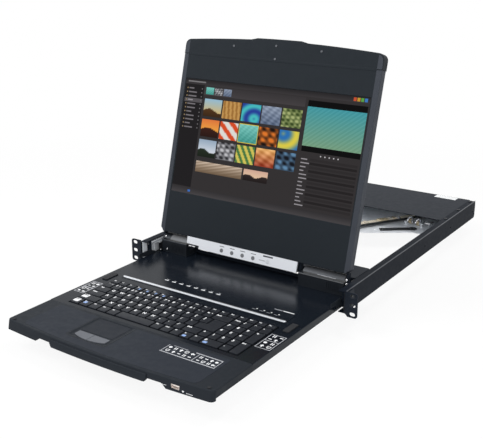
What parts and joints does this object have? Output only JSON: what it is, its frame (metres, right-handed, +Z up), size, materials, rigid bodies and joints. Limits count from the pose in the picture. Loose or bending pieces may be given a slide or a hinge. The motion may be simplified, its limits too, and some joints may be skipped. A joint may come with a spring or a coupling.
{
  "type": "rackmount lcd console drawer",
  "caption": "One-unit 19-inch rack drawer on ball slides with a keyboard, a touchpad and a wide display that folds down over the keys and slides away into the rack.",
  "frame": {"origin": "centre of the ears' hole pattern on their rear face, which lies against the rack's posts; half way up the one-unit height", "axes": "+X right seen from the front, +Y towards the back of the rack, +Z up; drawn pulled out with the display raised"},
  "size_m": [0.4826, 0.9734, 0.421],
  "materials": {
    "black_steel": "satin black powder coat",
    "zinc_steel": "zinc plated sheet",
    "deck_black": "fine satin",
    "palm_grey": "fine texture, dark grey",
    "key_black": "satin",
    "display_black": "satin",
    "screen_pane": "smooth",
    "silver_strip": "brushed",
    "button_grey": "smooth",
    "pad_surface": "fine texture",
    "strip_gloss": "gloss",
    "rubber": "soft",
    "board_green": "circuit board"
  },
  "bodies": {
    "chassis": {"side_channel_left": "black_steel", "side_channel_right": "black_steel", "mounting_ear_left": "black_steel", "mounting_ear_right": "black_steel", "rear_cover": "black_steel", "rear_base_plate": "zinc_steel", "rear_panel": "black_steel", "interface_board": "board_green", "chassis_screws": "zinc_steel", "outer_slide_left": "zinc_steel", "outer_slide_right": "zinc_steel"},
    "ball_cage_left": {"ball_retainer_left": "zinc_steel"},
    "ball_cage_right": {"ball_retainer_right": "zinc_steel"},
    "tray": {"tray_pan": "deck_black", "tray_bottom_plate": "zinc_steel", "rear_shelf": "black_steel", "side_bracket_left": "zinc_steel", "side_bracket_right": "zinc_steel", "inner_slide_left": "zinc_steel", "inner_slide_right": "zinc_steel", "front_moulding": "deck_black", "pull_handle": "deck_black", "palm_rest": "palm_grey", "touchpad_frame": "palm_grey", "touchpad": "pad_surface", "usb_port": "zinc_steel", "deck_pads": "rubber", "indicator_strip": "strip_gloss", "function_bar": "silver_strip", "keyboard_plate": "deck_black", "hinge_block_left": "deck_black", "hinge_block_right": "deck_black"},
    "latch_left": {"slide_latch_left": "deck_black"},
    "latch_right": {"slide_latch_right": "deck_black"},
    "function_keys": {"function_keys": "key_black"},
    "typing_keys": {"typing_keys": "key_black"},
    "control_keys": {"control_keys": "key_black"},
    "space_bar": {"space_bar": "key_black"},
    "enter_key": {"enter_key": "key_black"},
    "number_pad_keys": {"number_pad_keys": "key_black"},
    "pad_button_left": {"touchpad_button_left": "button_grey"},
    "pad_button_right": {"touchpad_button_right": "button_grey"},
    "display": {"display_bezel": "display_black", "display_glass": "screen_pane", "display_rear_cover": "display_black", "display_side_trims": "palm_grey", "display_top_cap": "display_black", "display_bumpers": "rubber", "osd_panel": "silver_strip", "hinge_arm_left": "black_steel", "hinge_arm_right": "black_steel"},
    "osd_menu_button": {"osd_menu_button": "button_grey"},
    "osd_down_button": {"osd_down_button": "button_grey"},
    "osd_up_button": {"osd_up_button": "button_grey"},
    "osd_exit_button": {"osd_exit_button": "button_grey"},
    "power_button": {"power_button": "button_grey"},
    "arm_rear_link": {"cable_arm_rear_link": "zinc_steel", "rear_arm_cables": "rubber"},
    "arm_front_link": {"cable_arm_front_link": "zinc_steel", "front_arm_cables": "rubber"}
  },
  "joints": [
    {"name": "tray_slide", "type": "slide", "parent": "chassis", "child": "tray", "axis": [0, 1, 0], "range_m": [0, 0.345]},
    {"name": "ball_cage_left_slide", "type": "slide", "parent": "chassis", "child": "ball_cage_left", "axis": [0, 1, 0], "range_m": [0, 0.1725]},
    {"name": "ball_cage_right_slide", "type": "slide", "parent": "chassis", "child": "ball_cage_right", "axis": [0, 1, 0], "range_m": [0, 0.1725]},
    {"name": "display_fold", "type": "hinge", "parent": "tray", "child": "display", "pos_m": [0, 0.0496, 0.0122], "axis": [1, 0, 0], "range_deg": [-5, 105]},
    {"name": "slide_latch_left_press", "type": "hinge", "parent": "tray", "child": "latch_left", "pos_m": [-0.2045, 0.022, -0.0116], "axis": [1, 0, 0], "range_deg": [0, 6], "stiffness_Nm_per_rad": 0.4, "springref_deg": -5.73},
    {"name": "slide_latch_right_press", "type": "hinge", "parent": "tray", "child": "latch_right", "pos_m": [0.2045, 0.022, -0.0116], "axis": [1, 0, 0], "range_deg": [0, 6], "stiffness_Nm_per_rad": 0.4, "springref_deg": -5.73},
    {"name": "function_keys_press", "type": "slide", "parent": "tray", "child": "function_keys", "axis": [0, 0, -1], "range_m": [0, 0.0016], "stiffness_N_per_m": 800, "springref_m": -0.0015},
    {"name": "typing_keys_press", "type": "slide", "parent": "tray", "child": "typing_keys", "axis": [0, 0, -1], "range_m": [0, 0.0016], "stiffness_N_per_m": 1500, "springref_m": -0.0015},
    {"name": "control_keys_press", "type": "slide", "parent": "tray", "child": "control_keys", "axis": [0, 0, -1], "range_m": [0, 0.0016], "stiffness_N_per_m": 800, "springref_m": -0.0015},
    {"name": "space_bar_press", "type": "slide", "parent": "tray", "child": "space_bar", "axis": [0, 0, -1], "range_m": [0, 0.0016], "stiffness_N_per_m": 400, "springref_m": -0.0015},
    {"name": "enter_key_press", "type": "slide", "parent": "tray", "child": "enter_key", "axis": [0, 0, -1], "range_m": [0, 0.0016], "stiffness_N_per_m": 400, "springref_m": -0.0015},
    {"name": "number_pad_keys_press", "type": "slide", "parent": "tray", "child": "number_pad_keys", "axis": [0, 0, -1], "range_m": [0, 0.0016], "stiffness_N_per_m": 900, "springref_m": -0.0015},
    {"name": "touchpad_button_left_press", "type": "slide", "parent": "tray", "child": "pad_button_left", "axis": [0, 0, -1], "range_m": [0, 0.0008], "stiffness_N_per_m": 700, "springref_m": -0.0008},
    {"name": "touchpad_button_right_press", "type": "slide", "parent": "tray", "child": "pad_button_right", "axis": [0, 0, -1], "range_m": [0, 0.0008], "stiffness_N_per_m": 700, "springref_m": -0.0008},
    {"name": "osd_menu_button_press", "type": "slide", "parent": "display", "child": "osd_menu_button", "axis": [0, 0.9659, -0.2588], "range_m": [0, 0.0006], "stiffness_N_per_m": 600, "springref_m": -0.0008},
    {"name": "osd_down_button_press", "type": "slide", "parent": "display", "child": "osd_down_button", "axis": [0, 0.9659, -0.2588], "range_m": [0, 0.0006], "stiffness_N_per_m": 600, "springref_m": -0.0008},
    {"name": "osd_up_button_press", "type": "slide", "parent": "display", "child": "osd_up_button", "axis": [0, 0.9659, -0.2588], "range_m": [0, 0.0006], "stiffness_N_per_m": 600, "springref_m": -0.0008},
    {"name": "osd_exit_button_press", "type": "slide", "parent": "display", "child": "osd_exit_button", "axis": [0, 0.9659, -0.2588], "range_m": [0, 0.0006], "stiffness_N_per_m": 600, "springref_m": -0.0008},
    {"name": "power_button_press", "type": "slide", "parent": "display", "child": "power_button", "axis": [0, 0.9659, -0.2588], "range_m": [0, 0.0006], "stiffness_N_per_m": 600, "springref_m": -0.0008},
    {"name": "arm_rear_pivot", "type": "hinge", "parent": "chassis", "child": "arm_rear_link", "pos_m": [0.13, 0.56, -0.01], "axis": [0, 0, 1], "range_deg": [-47.81, 0]},
    {"name": "arm_elbow", "type": "hinge", "parent": "arm_rear_link", "child": "arm_front_link", "pos_m": [-0.00451, 0.3375, -0.004], "axis": [0, 0, 1], "range_deg": [0, 95.61]}
  ],
  "couplings": [
    {"joint": "ball_cage_left_slide", "follows": "tray_slide", "ratio": 0.5},
    {"joint": "ball_cage_right_slide", "follows": "tray_slide", "ratio": 0.5},
    {"joint": "arm_rear_pivot", "follows": "tray_slide", "rad_per_m": -2.416},
    {"joint": "arm_elbow", "follows": "tray_slide", "rad_per_m": 4.832}
  ]
}
